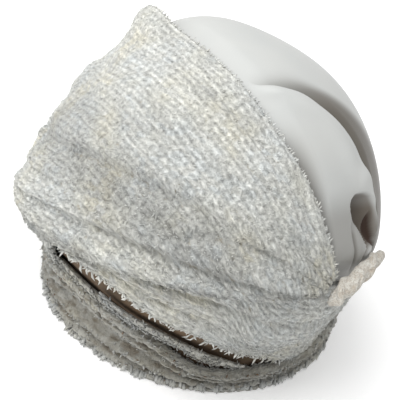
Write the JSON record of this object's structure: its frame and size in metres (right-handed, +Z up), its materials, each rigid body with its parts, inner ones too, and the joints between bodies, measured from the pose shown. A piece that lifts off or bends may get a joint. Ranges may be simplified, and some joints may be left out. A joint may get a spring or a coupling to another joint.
{
  "type": "wrapped turban",
  "caption": "Bouffant wrapped turban: a pleated textured drape fans from a side gather over a smooth puffed crown, with a twisted end, a lower wrap and a rim band, open below for the head.",
  "frame": {"origin": "on the floor plane the rim rests on, under the middle of the bounding box", "axes": "+Z up, the wearer's front is -Y and the wearer's left is +X"},
  "size_m": [0.243, 0.2436, 0.1923],
  "materials": {
    "under_cap": "plain brown lining cloth, matt",
    "brow_band": "wound off-white tufted cloth, rough",
    "lower_wrap": "off-white tufted cloth in rows, rough",
    "front_drape": "off-white tufted cloth in pleats, rough",
    "crown": "smooth white cloth with a faint sheen",
    "twisted_tail": "twisted cream cloth, matt"
  },
  "bodies": {
    "root": {"under_cap": "under_cap", "brow_band": "brow_band", "lower_wrap": "lower_wrap", "front_drape": "front_drape", "crown": "crown", "twisted_tail": "twisted_tail"}
  },
  "joints": []
}
